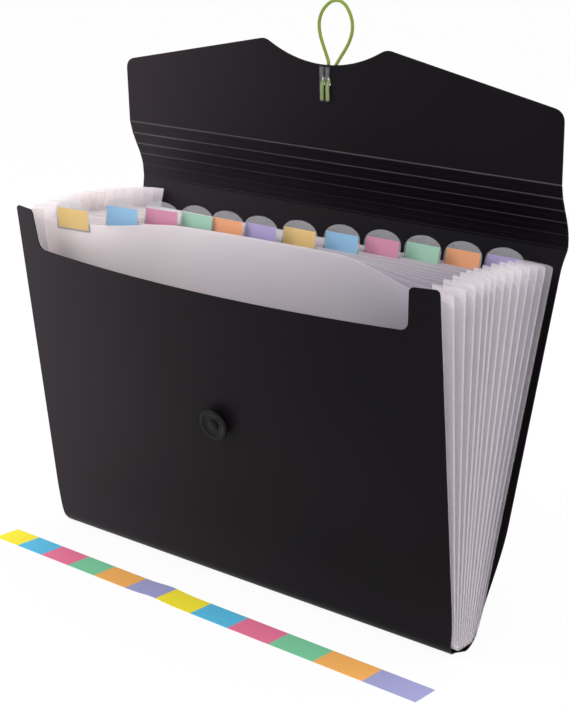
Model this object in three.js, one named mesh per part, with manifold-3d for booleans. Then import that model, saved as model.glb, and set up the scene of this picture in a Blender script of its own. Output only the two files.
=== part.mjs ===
// Expanding file folder, standing open: two plastic covers joined by a curved spine, twelve
// dividers held in pleated gussets, a creased top flap with an elastic loop, and a closing button.
// Millimetres, +Z up, front cover towards -Y. The origin lies on the floor under the spine.
import * as THREE from 'three';
import Module from 'manifold-3d';
import { mergeVertices } from 'three/addons/utils/BufferGeometryUtils.js';

const wasm = await Module();
wasm.setup();

// Driving dimensions: sheets and covers
const coverWidth = 330;
const coverHeight = 238;
const coverThickness = 0.9;
const backOverhang = 5.5;
const backWidth = coverWidth + 2 * backOverhang;
const backHeight = 246.5;
const flapOverhang = 2;
const flapWidth = backWidth + 2 * flapOverhang;
const dividerThickness = 0.5;
const dividerHeight = 226.5;
const dividerCorner = 8;
const dividerCount = 12;

// Driving dimensions: the open stance
const baseDepth = 28;
const baseHeight = 4;
const frontLeanAngle = 11.36;
const backLeanAngle = -13.68;
const fanHumpAngle = 1.75;
const humpSheets = 6;
const frontBow = 16.7;
const bowPower = 1.5;
const spineFrontBend = 9.45;
const spineRearBend = 3.45;
const spineInset = 1;
const spineWidth = coverWidth - 2 * spineInset;
const footClearance = 2.15;
const hingeGap = 0.6;

// Driving dimensions: the notch between the two ears of the front cover
const earWidth = 18;
const recessDepth = 27;
const recessSlant = 1.5;
const earCorner = 3;
const recessCorner = 6;
const bottomCorner = 4;

// Driving dimensions: creases and flap
const stripHeight = 8.8;
const stripLeanAngles = [8, 22, 30, 28, 20];
const flapLeanAngle = 6.5;
const flapSideHeight = 44;
const flapPeakHeight = 69.3;
const flapPeakOffset = 47.7;
const flapDip = 13.7;
const flapCorner = 7;
const peakRounding = 4;

// Driving dimensions: gussets
const gussetWall = 0.3;
const gussetDepth = 18;
const gussetHeight = 236;
const ridgeDrop = 6;
const ridgeHalf = 0.7;
const foldHalf = 0.18;
const foldSag = 4;

// Driving dimensions: tabs and labels
const labelWidth = 24.8;
const labelHeight = 13.5;
const labelThickness = 0.12;
const labelCentre = 229;
const tabWall = 0.2;
const tabMargin = 1.25;
const tabArch = 5.6;
const tabSide = 1;
const tabFloor = 1.2;
const firstTabInset = 35;
const lastTabInset = 27.7;
const slipClearance = 0.12;
const clearance = 0.3;

// Driving dimensions: button, elastic loop and the spare strip of labels
const buttonHeight = 118.6;
const buttonRadius = 10;
const buttonFace = 6.5;
const buttonDisc = 2.4;
const buttonStem = 5.6;
const buttonDish = 1;
const rivetRadius = 1.5;
const rivetHead = 3.6;
const rivetTail = 3;
const rivetTailThickness = 0.8;
const washerRadius = 6;
const washerThickness = 0.8;
const cordDiameter = 2.2;
const loopCentre = 1.4;
const cordSpacing = 4.4;
const sleeveLength = 22;
const sleeveWall = 0.55;
const slotHeight = 45;
const slotLength = 5.4;
const cordTail = 11.5;
const cordTailBend = 7.5;
const stripLength = 354;
const stripDepth = 20.5;
const stripThickness = 0.3;
const stripPlace = new THREE.Vector3(0.5, -61.2, 0);
const stripTurnAngle = -1;

const rad = THREE.MathUtils.degToRad;
const half = coverThickness / 2;
const halfDivider = dividerThickness / 2;
const sheetCount = dividerCount + 2;

// Materials
function plastic(color, roughness, opacity = 1) {
  return new THREE.MeshStandardMaterial({ color, roughness, metalness: 0, opacity, transparent: opacity < 1 });
}
const blackPlastic = () => plastic(0x2a282b, 0.5);
const frostedPlastic = () => plastic(0xcfcad6, 0.45, 0.75);
const clearPlastic = () => plastic(0xe8eef2, 0.12, 0.35);
const steel = () => new THREE.MeshStandardMaterial({ color: 0xb8babd, roughness: 0.3, metalness: 1 });
const labelColours = [0xd9c477, 0x8fbede, 0xcd7da0, 0x96c3aa, 0xd79650, 0xa091be];

// Solids: booleans, thin curved sheets and flat plates
function toManifold(geometry) {
  const bare = geometry.clone();
  bare.deleteAttribute('normal');
  bare.deleteAttribute('uv');
  const merged = mergeVertices(bare, 1e-4);
  const vertProperties = new Float32Array(merged.attributes.position.array);
  const triVerts = new Uint32Array(merged.index.array);
  return new wasm.Manifold(new wasm.Mesh({ numProp: 3, vertProperties, triVerts }));
}

function toGeometry(manifold) {
  const mesh = manifold.getMesh();
  const geometry = new THREE.BufferGeometry();
  const positions = new THREE.BufferAttribute(new Float32Array(mesh.vertProperties), mesh.numProp);
  geometry.setAttribute('position', positions);
  geometry.setIndex(new THREE.BufferAttribute(new Uint32Array(mesh.triVerts), 1));
  return geometry;
}

const cut = (body, tool) => toGeometry(toManifold(body).subtract(toManifold(tool)));

// A closed skin over a strip of cross-sections: place(station, row, side) gives each corner.
function skin(stations, rows, place) {
  const points = [];
  for (const side of [-1, 1]) {
    for (let s = 0; s < stations; s += 1) {
      for (let r = 0; r <= rows; r += 1) {
        points.push(place(s, r / rows, side));
      }
    }
  }
  const at = (side, s, r) => (side * stations + s) * (rows + 1) + r;
  const faces = [];
  const quad = (a, b, c, d) => faces.push(a, b, c, a, c, d);
  for (let s = 0; s + 1 < stations; s += 1) {
    for (let r = 0; r < rows; r += 1) {
      quad(at(0, s, r), at(0, s + 1, r), at(0, s + 1, r + 1), at(0, s, r + 1));
      quad(at(1, s, r), at(1, s, r + 1), at(1, s + 1, r + 1), at(1, s + 1, r));
    }
    quad(at(0, s, 0), at(1, s, 0), at(1, s + 1, 0), at(0, s + 1, 0));
    quad(at(0, s, rows), at(0, s + 1, rows), at(1, s + 1, rows), at(1, s, rows));
  }
  const last = stations - 1;
  for (let r = 0; r < rows; r += 1) {
    quad(at(0, 0, r), at(0, 0, r + 1), at(1, 0, r + 1), at(1, 0, r));
    quad(at(0, last, r), at(1, last, r), at(1, last, r + 1), at(0, last, r + 1));
  }
  const geometry = new THREE.BufferGeometry().setFromPoints(points);
  geometry.setIndex(faces);
  return geometry;
}

// A flat plate in a sheet's own frame: X across, Y through it towards the back, Z up the sheet.
function plate(shape, thickness, rearFace, curveSegments = 6) {
  const geometry = new THREE.ExtrudeGeometry(shape, { depth: thickness, bevelEnabled: false, curveSegments });
  geometry.rotateX(Math.PI / 2);
  geometry.translate(0, rearFace, 0);
  return geometry;
}

function roundedPanel(halfWidth, low, high, lowRadius, highRadius) {
  const shape = new THREE.Shape();
  shape.moveTo(-halfWidth + lowRadius, low);
  shape.lineTo(halfWidth - lowRadius, low);
  shape.absarc(halfWidth - lowRadius, low + lowRadius, lowRadius, -Math.PI / 2, 0, false);
  shape.lineTo(halfWidth, high - highRadius);
  shape.absarc(halfWidth - highRadius, high - highRadius, highRadius, 0, Math.PI / 2, false);
  shape.lineTo(-halfWidth + highRadius, high);
  shape.absarc(-halfWidth + highRadius, high - highRadius, highRadius, Math.PI / 2, Math.PI, false);
  shape.lineTo(-halfWidth, low + lowRadius);
  shape.absarc(-halfWidth + lowRadius, low + lowRadius, lowRadius, Math.PI, 1.5 * Math.PI, false);
  return shape;
}

// The fan: sheet 0 is the front cover, sheets 1 to 12 the dividers, sheet 13 the back cover.
function leanOf(sheet) {
  const even = frontLeanAngle + (backLeanAngle - frontLeanAngle) * sheet / (sheetCount - 1);
  const hump = sheet < humpSheets ? fanHumpAngle * Math.sin(Math.PI * sheet / humpSheets) : 0;
  return rad(even - hump);
}

const footOf = (sheet) => -baseDepth / 2 + baseDepth * sheet / (sheetCount - 1);

// A point of a sheet: across, up its slope and through it, in the folder's frame.
function onSheet(sheet, across, up, through) {
  const lean = leanOf(sheet);
  const y = footOf(sheet) - up * Math.sin(lean) + through * Math.cos(lean);
  const z = baseHeight + up * Math.cos(lean) + through * Math.sin(lean);
  return new THREE.Vector3(across, y, z);
}

// The spine's two bends touch the floor and the covers' planes.
function bendCentre(sheet, radius) {
  const lean = Math.abs(leanOf(sheet));
  const inward = (radius - half - (radius - baseHeight) * Math.sin(lean)) / Math.cos(lean);
  const y = footOf(sheet) + (sheet === 0 ? inward : -inward);
  const tangent = -inward * Math.sin(lean) + (radius - baseHeight) * Math.cos(lean);
  return { y, z: radius, tangent };
}
const frontBend = bendCentre(0, spineFrontBend);
const rearBend = bendCentre(sheetCount - 1, spineRearBend);

// Where each sheet starts up its slope: covers at their hinges, dividers clear of the bends.
function startOf(sheet) {
  if (sheet === 0) return frontBend.tangent + hingeGap;
  if (sheet === sheetCount - 1) return rearBend.tangent + hingeGap;
  const y = footOf(sheet);
  let lift = 0;
  for (const bend of [frontBend, rearBend]) {
    const outside = bend === frontBend ? bend.y - y : y - bend.y;
    const reach = bend.z - coverThickness - footClearance;
    const drop = Math.sqrt(Math.max(0, reach * reach - Math.max(0, outside) ** 2));
    if (outside > 0) lift = Math.max(lift, bend.z - drop - baseHeight);
  }
  return lift / Math.cos(leanOf(sheet));
}

const folder = new THREE.Group();

function addMesh(name, geometry, material, parent = folder) {
  geometry.computeVertexNormals();
  const mesh = new THREE.Mesh(geometry, material);
  mesh.name = name;
  parent.add(mesh);
  return mesh;
}

function sheetFrame(y, z, lean, parent = folder) {
  const frame = new THREE.Group();
  frame.position.set(0, y, z);
  frame.rotation.x = lean;
  parent.add(frame);
  return frame;
}

const frameOfSheet = (sheet) => sheetFrame(footOf(sheet), baseHeight, leanOf(sheet));

// Spine
function spineGeometry() {
  const frontAngle = Math.PI + leanOf(0);
  const rearAngle = 2 * Math.PI + leanOf(sheetCount - 1);
  const down = 1.5 * Math.PI;
  const profile = new THREE.Shape();
  profile.absarc(frontBend.y, frontBend.z, spineFrontBend, frontAngle, down, false);
  profile.absarc(rearBend.y, rearBend.z, spineRearBend, down, rearAngle, false);
  profile.absarc(rearBend.y, rearBend.z, spineRearBend - coverThickness, rearAngle, down, true);
  profile.absarc(frontBend.y, frontBend.z, spineFrontBend - coverThickness, down, frontAngle, true);
  const geometry = new THREE.ExtrudeGeometry(profile, { depth: spineWidth, bevelEnabled: false, curveSegments: 8 });
  geometry.translate(0, 0, -spineWidth / 2);
  const toFolder = new THREE.Matrix4();
  toFolder.makeBasis(new THREE.Vector3(0, 1, 0), new THREE.Vector3(0, 0, 1), new THREE.Vector3(1, 0, 0));
  return geometry.applyMatrix4(toFolder);
}
addMesh('spine', spineGeometry(), blackPlastic());

// Front cover: bowed outwards, with two ears beside a rounded recess
function bowAt(across, up) {
  const side = 1 - (2 * across / coverWidth) ** 2;
  return frontBow * side * (Math.max(0, up) / coverHeight) ** bowPower;
}

function frontStations() {
  const low = startOf(0);
  const edge = [];
  const recessTop = coverHeight - recessDepth;
  const arcSteps = 4;
  for (let k = 0; k <= arcSteps; k += 1) {
    const t = Math.PI / 2 * k / arcSteps;
    edge.push([earCorner * (1 - Math.cos(t)), coverHeight - earCorner + earCorner * Math.sin(t)]);
  }
  for (let k = 0; k <= arcSteps; k += 1) {
    const t = Math.PI / 2 * k / arcSteps;
    edge.push([earWidth - earCorner + earCorner * Math.sin(t), coverHeight - earCorner + earCorner * Math.cos(t)]);
  }
  for (let k = 0; k <= arcSteps; k += 1) {
    const t = Math.PI / 2 * k / arcSteps;
    const across = earWidth + recessSlant + recessCorner * (1 - Math.cos(t));
    edge.push([across, recessTop + recessCorner * (1 - Math.sin(t))]);
  }
  const middleSteps = 8;
  const reached = earWidth + recessSlant + recessCorner;
  for (let k = 1; k <= middleSteps; k += 1) {
    edge.push([reached + (coverWidth / 2 - reached) * k / middleSteps, recessTop]);
  }
  const left = edge.map(([inset, high]) => {
    const short = Math.max(0, bottomCorner - inset);
    const round = bottomCorner - Math.sqrt(bottomCorner ** 2 - short ** 2);
    return { x: inset - coverWidth / 2, low: low + round, high };
  });
  const right = left.slice(0, -1).reverse().map(({ x, low: bottom, high }) => ({ x: -x, low: bottom, high }));
  return [...left, ...right];
}

const frontFrame = frameOfSheet(0);
const buttonBow = bowAt(0, buttonHeight);
const buttonTilt = Math.atan(bowPower * buttonBow / buttonHeight);
const buttonFrame = new THREE.Group();
buttonFrame.position.set(0, -buttonBow, buttonHeight);
buttonFrame.rotation.x = Math.PI + buttonTilt;
frontFrame.add(buttonFrame);

const boreRadius = rivetRadius + clearance;
const boreLength = 10 * coverThickness;

function frontCoverGeometry() {
  const stations = frontStations();
  const cover = skin(stations.length, 12, (s, share, side) => {
    const { x, low, high } = stations[s];
    const up = low + (high - low) * share;
    return new THREE.Vector3(x, side * half - bowAt(x, up), up);
  });
  const bore = new THREE.CylinderGeometry(boreRadius, boreRadius, boreLength, 20);
  bore.rotateX(buttonFrame.rotation.x);
  bore.translate(0, -buttonBow, buttonHeight);
  return cut(cover, bore);
}
addMesh('front_cover', frontCoverGeometry(), blackPlastic(), frontFrame);

// Button: its frame's +Y points out of the cover, along the rivet
const washerTop = -half - clearance;
const tailTop = washerTop - washerThickness - clearance;
const stemFoot = half + clearance;
const discBack = buttonFace - buttonDisc;
const dishFloor = buttonFace - buttonDish;
const lathe = (pairs, segments = 32) => {
  const geometry = new THREE.LatheGeometry(pairs.map(([r, h]) => new THREE.Vector2(r, h)), segments);
  return mergeVertices(geometry.deleteAttribute('normal').deleteAttribute('uv'), 1e-4);
};

addMesh('button', lathe([
  [boreRadius, stemFoot], [buttonStem, stemFoot], [buttonStem, discBack], [buttonRadius - 0.6, discBack],
  [buttonRadius, discBack + 0.7], [buttonRadius, buttonFace - 0.8], [buttonRadius - 0.5, buttonFace - 0.15],
  [buttonRadius - 1.4, buttonFace], [buttonRadius - 2.6, buttonFace - 0.2], [buttonRadius - 4, dishFloor],
  [boreRadius, dishFloor], [boreRadius, stemFoot],
]), blackPlastic(), buttonFrame);
addMesh('button_rivet', lathe([
  [0, tailTop - rivetTailThickness], [rivetTail - 0.3, tailTop - rivetTailThickness],
  [rivetTail, tailTop - rivetTailThickness + 0.3], [rivetTail, tailTop], [rivetRadius, tailTop],
  [rivetRadius, dishFloor + clearance], [rivetHead, dishFloor + clearance],
  [rivetHead - 0.3, dishFloor + clearance + 0.5], [rivetHead - 1.4, dishFloor + clearance + 0.95],
  [0, dishFloor + clearance + 1.15],
], 24), blackPlastic(), buttonFrame);
addMesh('button_washer', lathe([
  [boreRadius, washerTop - washerThickness], [washerRadius, washerTop - washerThickness],
  [washerRadius, washerTop], [boreRadius, washerTop], [boreRadius, washerTop - washerThickness],
]), steel(), buttonFrame);

// Dividers, each with a clear arched pocket for its paper label
const tabBack = -halfDivider - clearance;
const tabDepth = 2 * tabWall + labelThickness + 2 * slipClearance;
const tabHalf = labelWidth / 2 + tabMargin;
const labelLow = labelCentre - labelHeight / 2;
const labelHigh = labelCentre + labelHeight / 2;
const labelRear = tabBack - tabWall - slipClearance;

// The tabs step evenly from the left of the front divider to the right of the rear one.
function tabCentre(divider) {
  const pitch = (coverWidth - firstTabInset - lastTabInset) / (dividerCount - 1);
  return firstTabInset - coverWidth / 2 + pitch * (divider - 1);
}

function tabGeometry() {
  const shape = new THREE.Shape();
  shape.moveTo(-tabHalf, labelLow - tabFloor);
  shape.lineTo(tabHalf, labelLow - tabFloor);
  shape.lineTo(tabHalf, labelHigh - tabArch / 2);
  shape.absellipse(0, labelHigh - tabArch / 2, tabHalf, 1.5 * tabArch, 0, Math.PI, false);
  const pocket = new THREE.BoxGeometry(2 * (tabHalf - tabSide), tabDepth - 2 * tabWall, 2 * labelHeight);
  pocket.translate(0, tabBack - tabDepth / 2, labelLow - slipClearance + labelHeight);
  return cut(plate(shape, tabDepth, tabBack, 9), pocket);
}

for (let divider = 1; divider <= dividerCount; divider += 1) {
  const frame = frameOfSheet(divider);
  const tag = String(divider).padStart(2, '0');
  const outline = roundedPanel(
    coverWidth / 2 - clearance, startOf(divider), dividerHeight, bottomCorner, dividerCorner,
  );
  addMesh(`divider_${tag}`, plate(outline, dividerThickness, halfDivider), frostedPlastic(), frame);
  const tab = addMesh(`tab_${tag}`, tabGeometry(), clearPlastic(), frame);
  tab.position.x = tabCentre(divider);
  const paper = new THREE.BoxGeometry(labelWidth, labelThickness, labelHeight);
  const colour = labelColours[(divider - 1) % labelColours.length];
  const label = addMesh(`label_${tag}`, paper, plastic(colour, 0.8), frame);
  label.position.set(tabCentre(divider), labelRear - labelThickness / 2, labelCentre);
}

// Gussets: one pleated strip a side, with a ridge round each divider's edge and a fold between
function pleatPath() {
  const ridge = coverWidth / 2 + gussetWall;
  const seat = half + clearance + gussetWall / 2;
  const path = [{ sheet: 0, inset: 0, through: seat, crest: 0 }];
  for (let sheet = 0; sheet + 1 < sheetCount; sheet += 1) {
    if (sheet > 0) {
      path.push({ sheet, inset: 0, through: -ridgeHalf, crest: 1 });
      path.push({ sheet, inset: 0, through: ridgeHalf, crest: 1 });
    }
    path.push({ sheet, inset: gussetDepth, through: -foldHalf, crest: 0, fold: true });
    path.push({ sheet, inset: gussetDepth, through: foldHalf, crest: 0, fold: true });
  }
  path.push({ sheet: sheetCount - 1, inset: 0, through: -seat, crest: 0 });
  return { ridge, path };
}

function pleatPoint(spot, ridge, share, side) {
  const top = gussetHeight - spot.crest * ridgeDrop - (spot.fold ? 0 : ridgeDrop / 2);
  if (!spot.fold) {
    const low = startOf(spot.sheet) + clearance;
    return onSheet(spot.sheet, side * (ridge - spot.inset), low + (top - low) * share, spot.through);
  }
  const next = spot.sheet + 1;
  const low = Math.max(startOf(spot.sheet), startOf(next)) + clearance;
  const up = low + (top - foldSag - low) * share;
  const near = onSheet(spot.sheet, side * (ridge - spot.inset), up, 0);
  const far = onSheet(next, side * (ridge - spot.inset), up, 0);
  const middle = near.lerp(far, 0.5);
  middle.y += spot.through;
  return middle;
}

// The strip's wall, offset both ways from its middle line at one height
function gussetGeometry(side) {
  const { ridge, path } = pleatPath();
  const count = path.length;
  return skin(count, 3, (s, share, face) => {
    const order = side > 0 ? s : count - 1 - s;
    const here = pleatPoint(path[order], ridge, share, side);
    const before = order > 0 ? pleatPoint(path[order - 1], ridge, share, side) : null;
    const after = order + 1 < count ? pleatPoint(path[order + 1], ridge, share, side) : null;
    const offset = wallOffset(before, here, after).multiplyScalar(face * side * gussetWall / 2);
    return here.add(offset);
  });
}

function wallOffset(before, here, after) {
  const normals = [];
  for (const [from, to] of [[before, here], [here, after]]) {
    if (!from || !to) continue;
    const along = new THREE.Vector2(to.x - from.x, to.y - from.y).normalize();
    normals.push(new THREE.Vector2(-along.y, along.x));
  }
  const sum = normals.reduce((total, normal) => total.clone().add(normal)).normalize();
  const mitre = sum.divideScalar(sum.dot(normals[0]));
  return new THREE.Vector3(mitre.x, mitre.y, 0);
}
addMesh('gusset_right', gussetGeometry(1), frostedPlastic());
addMesh('gusset_left', gussetGeometry(-1), frostedPlastic());

// Back cover and the five creased strips above it
const backSheet = sheetCount - 1;
const backFrame = frameOfSheet(backSheet);
const backPanel = roundedPanel(backWidth / 2, startOf(backSheet), backHeight - hingeGap / 2, bottomCorner, 0.5);
addMesh('back_cover', plate(backPanel, coverThickness, half), blackPlastic(), backFrame);

let crease = onSheet(backSheet, 0, backHeight, 0);
stripLeanAngles.forEach((lean, index) => {
  const frame = sheetFrame(crease.y, crease.z, rad(lean));
  const panel = roundedPanel(flapWidth / 2, hingeGap / 2, stripHeight - hingeGap / 2, 0.5, 0.5);
  addMesh(`crease_strip_${index + 1}`, plate(panel, coverThickness, half, 2), blackPlastic(), frame);
  const rise = new THREE.Vector3(0, -Math.sin(rad(lean)), Math.cos(rad(lean)));
  crease = crease.clone().addScaledVector(rise, stripHeight);
});

// Flap: two low peaks with a hollow between them, and two slots for the elastic
const flapFrame = sheetFrame(crease.y, crease.z, rad(flapLeanAngle));
const flapEdge = flapPeakHeight - flapDip;

function flapShape() {
  const side = flapWidth / 2;
  const slope = Math.atan2(flapPeakHeight - flapSideHeight, side - flapPeakOffset);
  const hollow = (flapPeakOffset ** 2 + flapDip ** 2) / (2 * flapDip);
  const sweep = Math.asin((flapPeakOffset - peakRounding) / hollow);
  const shape = new THREE.Shape();
  shape.moveTo(-side, hingeGap / 2);
  shape.lineTo(side, hingeGap / 2);
  shape.lineTo(side, flapSideHeight - flapCorner);
  const reach = (length) => [side - length * Math.cos(slope), flapSideHeight + length * Math.sin(slope)];
  shape.quadraticCurveTo(side, flapSideHeight, ...reach(flapCorner));
  const before = peakRounding * Math.tan(slope);
  shape.lineTo(flapPeakOffset + peakRounding, flapPeakHeight - before);
  const centre = flapEdge + hollow;
  const lip = centre - hollow * Math.cos(sweep);
  shape.quadraticCurveTo(flapPeakOffset, flapPeakHeight, flapPeakOffset - peakRounding, lip);
  shape.absarc(0, centre, hollow, -Math.PI / 2 + sweep, -Math.PI / 2 - sweep, true);
  shape.quadraticCurveTo(-flapPeakOffset, flapPeakHeight, -flapPeakOffset - peakRounding, flapPeakHeight - before);
  const [x, y] = reach(flapCorner);
  shape.lineTo(-x, y);
  shape.quadraticCurveTo(-side, flapSideHeight, -side, flapSideHeight - flapCorner);
  return shape;
}

const cordSide = [loopCentre - cordSpacing / 2, loopCentre + cordSpacing / 2];

function flapGeometry() {
  const shape = flapShape();
  const radius = cordDiameter / 2 + clearance;
  const reach = slotLength / 2 - radius;
  for (const x of cordSide) {
    const slot = new THREE.Path();
    slot.absarc(x, slotHeight + reach, radius, 0, Math.PI, false);
    slot.absarc(x, slotHeight - reach, radius, Math.PI, 2 * Math.PI, false);
    slot.closePath();
    shape.holes.push(slot);
  }
  return plate(shape, coverThickness, half, 10);
}
addMesh('flap', flapGeometry(), blackPlastic(), flapFrame);

// Elastic loop, in the flap's frame: both ends lie on the inner face, pass through the slots and
// rise behind the flap. Points are across, through and up.
const cordLift = half + clearance + cordDiameter / 2;

function cordPath() {
  const [left, right] = cordSide;
  const slotRise = [[-cordTail, -1], [-cordTailBend, -1], [-3.9, -1], [-2.44, -0.88], [-1.1, -0.54], [0, 0], [1.1, 0.54],
    [2.44, 0.88], [3.9, 1]];
  const enter = slotRise.map(([up, share]) => [left, share * cordLift, slotHeight + up]);
  const leave = slotRise.map(([up, share]) => [right, share * cordLift, slotHeight + up]).reverse();
  const loop = [[0.6, 52.5], [2, 56.5], [0.2, 62], [-2, 67.5], [-4, 73], [-5, 78.7], [-4.6, 84], [-2.4, 89],
    [1.4, 93.3], [5.8, 96], [10.3, 96.6], [14.8, 94.8], [18.6, 90], [20.7, 84], [20.6, 78], [18.6, 72],
    [15.4, 66.5], [11.8, 61.5], [8.3, 56.5], [5.6, 52.5]];
  const points = [...enter, ...loop.map(([x, up]) => [x, cordLift, up]), ...leave];
  return new THREE.CatmullRomCurve3(points.map((p) => new THREE.Vector3(...p)), false, 'centripetal');
}

function cordGeometry() {
  const section = new THREE.Shape();
  section.absarc(0, 0, cordDiameter / 2, 0, 2 * Math.PI, false);
  return new THREE.ExtrudeGeometry(section, {
    steps: 72, curveSegments: 4, bevelEnabled: false, extrudePath: cordPath(),
  });
}
addMesh('elastic_loop', cordGeometry(), plastic(0x8fa055, 0.85), flapFrame);

// Clear double sleeve welded over the ends of the elastic, open towards the flap
function sleeveGeometry() {
  const inner = cordDiameter / 2 + clearance + 0.1;
  const outer = inner + sleeveWall;
  const height = cordLift - half - clearance;
  const tubes = [cordSpacing / 2, -cordSpacing / 2];
  const shape = new THREE.Shape();
  shape.moveTo(tubes[0] + outer, 0);
  for (const x of tubes) {
    const from = x > 0 ? 0 : Math.acos(Math.min(1, cordSpacing / 2 / outer));
    const to = x > 0 ? Math.PI - Math.acos(Math.min(1, cordSpacing / 2 / outer)) : Math.PI;
    shape.absarc(x, height, outer, from, to, false);
  }
  shape.lineTo(tubes[1] - outer, 0);
  for (const x of [...tubes].reverse()) {
    shape.lineTo(x - inner, 0);
    shape.absarc(x, height, inner, Math.PI, 0, true);
    shape.lineTo(x + inner, 0);
  }
  shape.closePath();
  const geometry = new THREE.ExtrudeGeometry(shape, { depth: sleeveLength, bevelEnabled: false, curveSegments: 8 });
  geometry.rotateX(Math.PI);
  return geometry;
}
const sleeve = addMesh('loop_sleeve', sleeveGeometry(), clearPlastic(), flapFrame);
sleeve.geometry.translate(loopCentre, -half - clearance, flapEdge - 1);

// Spare strip of labels lying in front of the folder
const strip = addMesh('label_strip', new THREE.BoxGeometry(stripLength, stripDepth, stripThickness), plastic(0xe6d9a0, 0.8));
strip.position.copy(stripPlace);
strip.position.z = stripThickness / 2;
strip.rotation.z = rad(stripTurnAngle);

export default folder;
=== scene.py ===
from math import atan, atan2, cos, pi, radians, sin, sqrt, tan

import bmesh
import bpy
import numpy as np
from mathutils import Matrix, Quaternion, Vector


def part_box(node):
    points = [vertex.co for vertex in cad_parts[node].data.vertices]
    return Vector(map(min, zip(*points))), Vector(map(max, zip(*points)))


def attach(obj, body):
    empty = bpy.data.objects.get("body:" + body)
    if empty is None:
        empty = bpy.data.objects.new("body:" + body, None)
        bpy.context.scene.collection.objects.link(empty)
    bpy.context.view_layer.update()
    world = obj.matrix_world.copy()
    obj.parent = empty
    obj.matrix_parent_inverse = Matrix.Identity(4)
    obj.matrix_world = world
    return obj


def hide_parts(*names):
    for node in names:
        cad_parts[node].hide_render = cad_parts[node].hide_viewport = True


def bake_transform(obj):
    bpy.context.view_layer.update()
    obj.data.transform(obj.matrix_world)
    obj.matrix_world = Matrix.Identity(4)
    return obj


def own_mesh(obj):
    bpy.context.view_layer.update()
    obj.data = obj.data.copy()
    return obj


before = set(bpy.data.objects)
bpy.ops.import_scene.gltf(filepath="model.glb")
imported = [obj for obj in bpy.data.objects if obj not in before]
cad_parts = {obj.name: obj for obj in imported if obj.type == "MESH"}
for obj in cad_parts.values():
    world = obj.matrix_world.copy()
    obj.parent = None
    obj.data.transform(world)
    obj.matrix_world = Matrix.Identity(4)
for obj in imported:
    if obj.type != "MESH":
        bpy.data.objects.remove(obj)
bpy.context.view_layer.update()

mm = 0.001  # pieces are worked out in millimetres and stored in metres
print("frame loaded:", len(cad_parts), "nodes")

# The fan of sheets: 0 is the front cover, 1 to 12 the dividers, 13 the back cover
fan = {
    "last": 13, "depth": 28.0, "height": 4.0,
    "frontLean": 11.36, "backLean": -13.68, "hump": 1.75, "humpSheets": 6,
}
cover = {
    "width": 330.0, "height": 238.0, "wall": 0.9, "bow": 16.7, "bowPower": 1.5,
    "backWidth": 341.0, "backHeight": 246.5,
}
bends = {"front": 12.0, "rear": 14.0, "clear": 2.15}


def leanOf(sheet):
    even = fan["frontLean"] + (fan["backLean"] - fan["frontLean"]) * sheet / fan["last"]
    hump = fan["hump"] * sin(pi * sheet / fan["humpSheets"]) if sheet < fan["humpSheets"] else 0
    return radians(even - hump)


def footOf(sheet):
    return fan["depth"] * (sheet / fan["last"] - 0.5)


def inFrame(y, z, lean, across, up, through):
    # a point of a leaning sheet: across it, up its slope and through it towards the back
    across, up, through = np.broadcast_arrays(*(np.asarray(a, float) for a in (across, up, through)))
    return np.stack([
        across,
        y - up * sin(lean) + through * cos(lean),
        z + up * cos(lean) + through * sin(lean),
    ], -1)


def onSheet(sheet, across, up, through=0.0):
    return inFrame(footOf(sheet), fan["height"], leanOf(sheet), across, up, through)


def smooth01(t):
    t = np.clip(t, 0, 1)
    return t * t * (3 - 2 * t)


def bendAt(sheet, radius):
    # centre of a bottom bend that touches the floor and the sheet's plane, and where it leaves the sheet
    lean, half = abs(leanOf(sheet)), cover["wall"] / 2
    inward = (radius - half - (radius - fan["height"]) * sin(lean)) / cos(lean)
    y = footOf(sheet) + (inward if sheet == 0 else -inward)
    tangent = -inward * sin(lean) + (radius - fan["height"]) * cos(lean)
    return {"y": y, "radius": radius, "tangent": tangent}


frontBend = bendAt(0, bends["front"])
rearBend = bendAt(fan["last"], bends["rear"])


def startOf(sheet):
    # how far up its slope a sheet starts, clear of the two bottom bends
    if sheet == 0:
        return frontBend["tangent"]
    if sheet == fan["last"]:
        return rearBend["tangent"]
    y, lift = footOf(sheet), 0.0
    for bend, outside in ((frontBend, frontBend["y"] - y), (rearBend, y - rearBend["y"])):
        reach = bend["radius"] - cover["wall"] - bends["clear"]
        if outside > 0:
            drop = sqrt(max(0.0, reach ** 2 - outside ** 2))
            lift = max(lift, bend["radius"] - drop - fan["height"])
    return lift / cos(leanOf(sheet))


# Mesh helpers, with the angles in degrees past which an edge is sharp or is rounded
edgeAngles = {"sharp": 40, "fold": 50, "rim": 55}


def linked(name, data):
    piece = bpy.data.objects.new(name, data)
    bpy.context.scene.collection.objects.link(piece)
    return piece


def faceOutwards(mesh):
    work = bmesh.new()
    work.from_mesh(mesh)
    bmesh.ops.recalc_face_normals(work, faces=work.faces)
    work.to_mesh(mesh)
    work.free()


def makePiece(name, verts, faces, material=None, uv=None, sharp=edgeAngles["sharp"]):
    mesh = bpy.data.meshes.new(name)
    mesh.from_pydata((np.asarray(verts) * mm).tolist(), [], faces)
    if uv is not None:
        layer = mesh.uv_layers.new(name="along")
        corners = np.zeros(len(mesh.loops), np.int32)
        mesh.loops.foreach_get("vertex_index", corners)
        layer.data.foreach_set("uv", np.asarray(uv, float)[corners].ravel())
    faceOutwards(mesh)
    mesh.shade_smooth()
    mesh.set_sharp_from_angle(angle=radians(sharp))
    if material:
        mesh.materials.append(material)
    return linked(name, mesh)


def quads(*corners):
    return np.stack(corners, -1).reshape(-1, 4).tolist()


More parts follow.
